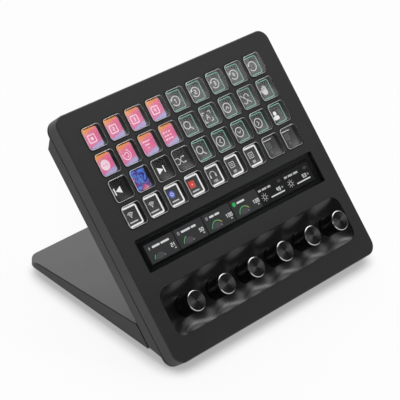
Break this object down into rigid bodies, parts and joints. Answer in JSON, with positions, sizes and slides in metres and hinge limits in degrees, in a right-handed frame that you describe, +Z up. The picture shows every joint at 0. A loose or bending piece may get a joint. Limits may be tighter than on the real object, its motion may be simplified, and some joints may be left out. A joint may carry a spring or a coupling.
{
  "type": "desktop display keypad with dials",
  "caption": "Tilted desk keypad: a grid of clear display keys over a touch strip and a row of push-and-turn dials, on a wedge-shaped stand.",
  "frame": {"origin": "on the desk, under the middle of the object's bounding box", "axes": "+X to the user's right, +Y away from the user, +Z up"},
  "size_m": [0.2026, 0.152, 0.1357],
  "materials": {
    "moulded_case": "fine matt texture",
    "moulded_stand": "fine matt texture",
    "pad_rubber": "matt non-slip",
    "key_silicone": "matt silicone",
    "display_module": "gloss",
    "cover_glass": "polished",
    "gloss_tray": "high gloss",
    "encoder_metal": "satin",
    "circuit_board": "solder mask",
    "screw_steel": "black zinc",
    "clear_key": "polished clear plastic",
    "dial_gloss": "gloss with a bright turned edge"
  },
  "bodies": {
    "root": {"faceplate": "moulded_case", "key_mat": "key_silicone", "key_display": "display_module", "strip_glass": "cover_glass", "strip_display": "display_module", "dial_tray": "gloss_tray", "encoder_bodies": "encoder_metal", "main_board": "circuit_board", "rear_housing": "moulded_case", "case_screws": "screw_steel", "stand": "moulded_stand", "stand_pad": "pad_rubber"},
    "key_r1c1": {"key_r1c1": "clear_key"},
    "key_r1c2": {"key_r1c2": "clear_key"},
    "key_r1c3": {"key_r1c3": "clear_key"},
    "key_r1c4": {"key_r1c4": "clear_key"},
    "key_r1c5": {"key_r1c5": "clear_key"},
    "key_r1c6": {"key_r1c6": "clear_key"},
    "key_r1c7": {"key_r1c7": "clear_key"},
    "key_r1c8": {"key_r1c8": "clear_key"},
    "key_r1c9": {"key_r1c9": "clear_key"},
    "key_r2c1": {"key_r2c1": "clear_key"},
    "key_r2c2": {"key_r2c2": "clear_key"},
    "key_r2c3": {"key_r2c3": "clear_key"},
    "key_r2c4": {"key_r2c4": "clear_key"},
    "key_r2c5": {"key_r2c5": "clear_key"},
    "key_r2c6": {"key_r2c6": "clear_key"},
    "key_r2c7": {"key_r2c7": "clear_key"},
    "key_r2c8": {"key_r2c8": "clear_key"},
    "key_r2c9": {"key_r2c9": "clear_key"},
    "key_r3c1": {"key_r3c1": "clear_key"},
    "key_r3c2": {"key_r3c2": "clear_key"},
    "key_r3c3": {"key_r3c3": "clear_key"},
    "key_r3c4": {"key_r3c4": "clear_key"},
    "key_r3c5": {"key_r3c5": "clear_key"},
    "key_r3c6": {"key_r3c6": "clear_key"},
    "key_r3c7": {"key_r3c7": "clear_key"},
    "key_r3c8": {"key_r3c8": "clear_key"},
    "key_r3c9": {"key_r3c9": "clear_key"},
    "key_r4c1": {"key_r4c1": "clear_key"},
    "key_r4c2": {"key_r4c2": "clear_key"},
    "key_r4c3": {"key_r4c3": "clear_key"},
    "key_r4c4": {"key_r4c4": "clear_key"},
    "key_r4c5": {"key_r4c5": "clear_key"},
    "key_r4c6": {"key_r4c6": "clear_key"},
    "key_r4c7": {"key_r4c7": "clear_key"},
    "key_r4c8": {"key_r4c8": "clear_key"},
    "key_r4c9": {"key_r4c9": "clear_key"},
    "dial_shaft_1": {"dial_shaft_1": "encoder_metal"},
    "dial_knob_1": {"dial_knob_1": "dial_gloss"},
    "dial_shaft_2": {"dial_shaft_2": "encoder_metal"},
    "dial_knob_2": {"dial_knob_2": "dial_gloss"},
    "dial_shaft_3": {"dial_shaft_3": "encoder_metal"},
    "dial_knob_3": {"dial_knob_3": "dial_gloss"},
    "dial_shaft_4": {"dial_shaft_4": "encoder_metal"},
    "dial_knob_4": {"dial_knob_4": "dial_gloss"},
    "dial_shaft_5": {"dial_shaft_5": "encoder_metal"},
    "dial_knob_5": {"dial_knob_5": "dial_gloss"},
    "dial_shaft_6": {"dial_shaft_6": "encoder_metal"},
    "dial_knob_6": {"dial_knob_6": "dial_gloss"}
  },
  "joints": [
    {"name": "key_r1c1_press", "type": "slide", "parent": "root", "child": "key_r1c1", "axis": [0, 0.6984, -0.7157], "range_m": [0, 0.0015], "stiffness_N_per_m": 350, "springref_m": -0.0007},
    {"name": "key_r1c2_press", "type": "slide", "parent": "root", "child": "key_r1c2", "axis": [0, 0.6984, -0.7157], "range_m": [0, 0.0015], "stiffness_N_per_m": 350, "springref_m": -0.0007},
    {"name": "key_r1c3_press", "type": "slide", "parent": "root", "child": "key_r1c3", "axis": [0, 0.6984, -0.7157], "range_m": [0, 0.0015], "stiffness_N_per_m": 350, "springref_m": -0.0007},
    {"name": "key_r1c4_press", "type": "slide", "parent": "root", "child": "key_r1c4", "axis": [0, 0.6984, -0.7157], "range_m": [0, 0.0015], "stiffness_N_per_m": 350, "springref_m": -0.0007},
    {"name": "key_r1c5_press", "type": "slide", "parent": "root", "child": "key_r1c5", "axis": [0, 0.6984, -0.7157], "range_m": [0, 0.0015], "stiffness_N_per_m": 350, "springref_m": -0.0007},
    {"name": "key_r1c6_press", "type": "slide", "parent": "root", "child": "key_r1c6", "axis": [0, 0.6984, -0.7157], "range_m": [0, 0.0015], "stiffness_N_per_m": 350, "springref_m": -0.0007},
    {"name": "key_r1c7_press", "type": "slide", "parent": "root", "child": "key_r1c7", "axis": [0, 0.6984, -0.7157], "range_m": [0, 0.0015], "stiffness_N_per_m": 350, "springref_m": -0.0007},
    {"name": "key_r1c8_press", "type": "slide", "parent": "root", "child": "key_r1c8", "axis": [0, 0.6984, -0.7157], "range_m": [0, 0.0015], "stiffness_N_per_m": 350, "springref_m": -0.0007},
    {"name": "key_r1c9_press", "type": "slide", "parent": "root", "child": "key_r1c9", "axis": [0, 0.6984, -0.7157], "range_m": [0, 0.0015], "stiffness_N_per_m": 350, "springref_m": -0.0007},
    {"name": "key_r2c1_press", "type": "slide", "parent": "root", "child": "key_r2c1", "axis": [0, 0.6984, -0.7157], "range_m": [0, 0.0015], "stiffness_N_per_m": 350, "springref_m": -0.0007},
    {"name": "key_r2c2_press", "type": "slide", "parent": "root", "child": "key_r2c2", "axis": [0, 0.6984, -0.7157], "range_m": [0, 0.0015], "stiffness_N_per_m": 350, "springref_m": -0.0007},
    {"name": "key_r2c3_press", "type": "slide", "parent": "root", "child": "key_r2c3", "axis": [0, 0.6984, -0.7157], "range_m": [0, 0.0015], "stiffness_N_per_m": 350, "springref_m": -0.0007},
    {"name": "key_r2c4_press", "type": "slide", "parent": "root", "child": "key_r2c4", "axis": [0, 0.6984, -0.7157], "range_m": [0, 0.0015], "stiffness_N_per_m": 350, "springref_m": -0.0007},
    {"name": "key_r2c5_press", "type": "slide", "parent": "root", "child": "key_r2c5", "axis": [0, 0.6984, -0.7157], "range_m": [0, 0.0015], "stiffness_N_per_m": 350, "springref_m": -0.0007},
    {"name": "key_r2c6_press", "type": "slide", "parent": "root", "child": "key_r2c6", "axis": [0, 0.6984, -0.7157], "range_m": [0, 0.0015], "stiffness_N_per_m": 350, "springref_m": -0.0007},
    {"name": "key_r2c7_press", "type": "slide", "parent": "root", "child": "key_r2c7", "axis": [0, 0.6984, -0.7157], "range_m": [0, 0.0015], "stiffness_N_per_m": 350, "springref_m": -0.0007},
    {"name": "key_r2c8_press", "type": "slide", "parent": "root", "child": "key_r2c8", "axis": [0, 0.6984, -0.7157], "range_m": [0, 0.0015], "stiffness_N_per_m": 350, "springref_m": -0.0007},
    {"name": "key_r2c9_press", "type": "slide", "parent": "root", "child": "key_r2c9", "axis": [0, 0.6984, -0.7157], "range_m": [0, 0.0015], "stiffness_N_per_m": 350, "springref_m": -0.0007},
    {"name": "key_r3c1_press", "type": "slide", "parent": "root", "child": "key_r3c1", "axis": [0, 0.6984, -0.7157], "range_m": [0, 0.0015], "stiffness_N_per_m": 350, "springref_m": -0.0007},
    {"name": "key_r3c2_press", "type": "slide", "parent": "root", "child": "key_r3c2", "axis": [0, 0.6984, -0.7157], "range_m": [0, 0.0015], "stiffness_N_per_m": 350, "springref_m": -0.0007},
    {"name": "key_r3c3_press", "type": "slide", "parent": "root", "child": "key_r3c3", "axis": [0, 0.6984, -0.7157], "range_m": [0, 0.0015], "stiffness_N_per_m": 350, "springref_m": -0.0007},
    {"name": "key_r3c4_press", "type": "slide", "parent": "root", "child": "key_r3c4", "axis": [0, 0.6984, -0.7157], "range_m": [0, 0.0015], "stiffness_N_per_m": 350, "springref_m": -0.0007},
    {"name": "key_r3c5_press", "type": "slide", "parent": "root", "child": "key_r3c5", "axis": [0, 0.6984, -0.7157], "range_m": [0, 0.0015], "stiffness_N_per_m": 350, "springref_m": -0.0007},
    {"name": "key_r3c6_press", "type": "slide", "parent": "root", "child": "key_r3c6", "axis": [0, 0.6984, -0.7157], "range_m": [0, 0.0015], "stiffness_N_per_m": 350, "springref_m": -0.0007},
    {"name": "key_r3c7_press", "type": "slide", "parent": "root", "child": "key_r3c7", "axis": [0, 0.6984, -0.7157], "range_m": [0, 0.0015], "stiffness_N_per_m": 350, "springref_m": -0.0007},
    {"name": "key_r3c8_press", "type": "slide", "parent": "root", "child": "key_r3c8", "axis": [0, 0.6984, -0.7157], "range_m": [0, 0.0015], "stiffness_N_per_m": 350, "springref_m": -0.0007},
    {"name": "key_r3c9_press", "type": "slide", "parent": "root", "child": "key_r3c9", "axis": [0, 0.6984, -0.7157], "range_m": [0, 0.0015], "stiffness_N_per_m": 350, "springref_m": -0.0007},
    {"name": "key_r4c1_press", "type": "slide", "parent": "root", "child": "key_r4c1", "axis": [0, 0.6984, -0.7157], "range_m": [0, 0.0015], "stiffness_N_per_m": 350, "springref_m": -0.0007},
    {"name": "key_r4c2_press", "type": "slide", "parent": "root", "child": "key_r4c2", "axis": [0, 0.6984, -0.7157], "range_m": [0, 0.0015], "stiffness_N_per_m": 350, "springref_m": -0.0007},
    {"name": "key_r4c3_press", "type": "slide", "parent": "root", "child": "key_r4c3", "axis": [0, 0.6984, -0.7157], "range_m": [0, 0.0015], "stiffness_N_per_m": 350, "springref_m": -0.0007},
    {"name": "key_r4c4_press", "type": "slide", "parent": "root", "child": "key_r4c4", "axis": [0, 0.6984, -0.7157], "range_m": [0, 0.0015], "stiffness_N_per_m": 350, "springref_m": -0.0007},
    {"name": "key_r4c5_press", "type": "slide", "parent": "root", "child": "key_r4c5", "axis": [0, 0.6984, -0.7157], "range_m": [0, 0.0015], "stiffness_N_per_m": 350, "springref_m": -0.0007},
    {"name": "key_r4c6_press", "type": "slide", "parent": "root", "child": "key_r4c6", "axis": [0, 0.6984, -0.7157], "range_m": [0, 0.0015], "stiffness_N_per_m": 350, "springref_m": -0.0007},
    {"name": "key_r4c7_press", "type": "slide", "parent": "root", "child": "key_r4c7", "axis": [0, 0.6984, -0.7157], "range_m": [0, 0.0015], "stiffness_N_per_m": 350, "springref_m": -0.0007},
    {"name": "key_r4c8_press", "type": "slide", "parent": "root", "child": "key_r4c8", "axis": [0, 0.6984, -0.7157], "range_m": [0, 0.0015], "stiffness_N_per_m": 350, "springref_m": -0.0007},
    {"name": "key_r4c9_press", "type": "slide", "parent": "root", "child": "key_r4c9", "axis": [0, 0.6984, -0.7157], "range_m": [0, 0.0015], "stiffness_N_per_m": 350, "springref_m": -0.0007},
    {"name": "dial_1_push", "type": "slide", "parent": "root", "child": "dial_shaft_1", "axis": [0, 0.6984, -0.7157], "range_m": [0, 0.0005], "stiffness_N_per_m": 2500, "springref_m": -0.0005},
    {"name": "dial_1_turn", "type": "hinge", "parent": "dial_shaft_1", "child": "dial_knob_1", "pos_m": [-0.072, -0.05295, 0.03252], "axis": [0, -0.6984, 0.7157], "continuous": true},
    {"name": "dial_2_push", "type": "slide", "parent": "root", "child": "dial_shaft_2", "axis": [0, 0.6984, -0.7157], "range_m": [0, 0.0005], "stiffness_N_per_m": 2500, "springref_m": -0.0005},
    {"name": "dial_2_turn", "type": "hinge", "parent": "dial_shaft_2", "child": "dial_knob_2", "pos_m": [-0.0432, -0.05295, 0.03252], "axis": [0, -0.6984, 0.7157], "continuous": true},
    {"name": "dial_3_push", "type": "slide", "parent": "root", "child": "dial_shaft_3", "axis": [0, 0.6984, -0.7157], "range_m": [0, 0.0005], "stiffness_N_per_m": 2500, "springref_m": -0.0005},
    {"name": "dial_3_turn", "type": "hinge", "parent": "dial_shaft_3", "child": "dial_knob_3", "pos_m": [-0.0144, -0.05295, 0.03252], "axis": [0, -0.6984, 0.7157], "continuous": true},
    {"name": "dial_4_push", "type": "slide", "parent": "root", "child": "dial_shaft_4", "axis": [0, 0.6984, -0.7157], "range_m": [0, 0.0005], "stiffness_N_per_m": 2500, "springref_m": -0.0005},
    {"name": "dial_4_turn", "type": "hinge", "parent": "dial_shaft_4", "child": "dial_knob_4", "pos_m": [0.0144, -0.05295, 0.03252], "axis": [0, -0.6984, 0.7157], "continuous": true},
    {"name": "dial_5_push", "type": "slide", "parent": "root", "child": "dial_shaft_5", "axis": [0, 0.6984, -0.7157], "range_m": [0, 0.0005], "stiffness_N_per_m": 2500, "springref_m": -0.0005},
    {"name": "dial_5_turn", "type": "hinge", "parent": "dial_shaft_5", "child": "dial_knob_5", "pos_m": [0.0432, -0.05295, 0.03252], "axis": [0, -0.6984, 0.7157], "continuous": true},
    {"name": "dial_6_push", "type": "slide", "parent": "root", "child": "dial_shaft_6", "axis": [0, 0.6984, -0.7157], "range_m": [0, 0.0005], "stiffness_N_per_m": 2500, "springref_m": -0.0005},
    {"name": "dial_6_turn", "type": "hinge", "parent": "dial_shaft_6", "child": "dial_knob_6", "pos_m": [0.072, -0.05295, 0.03252], "axis": [0, -0.6984, 0.7157], "continuous": true}
  ]
}
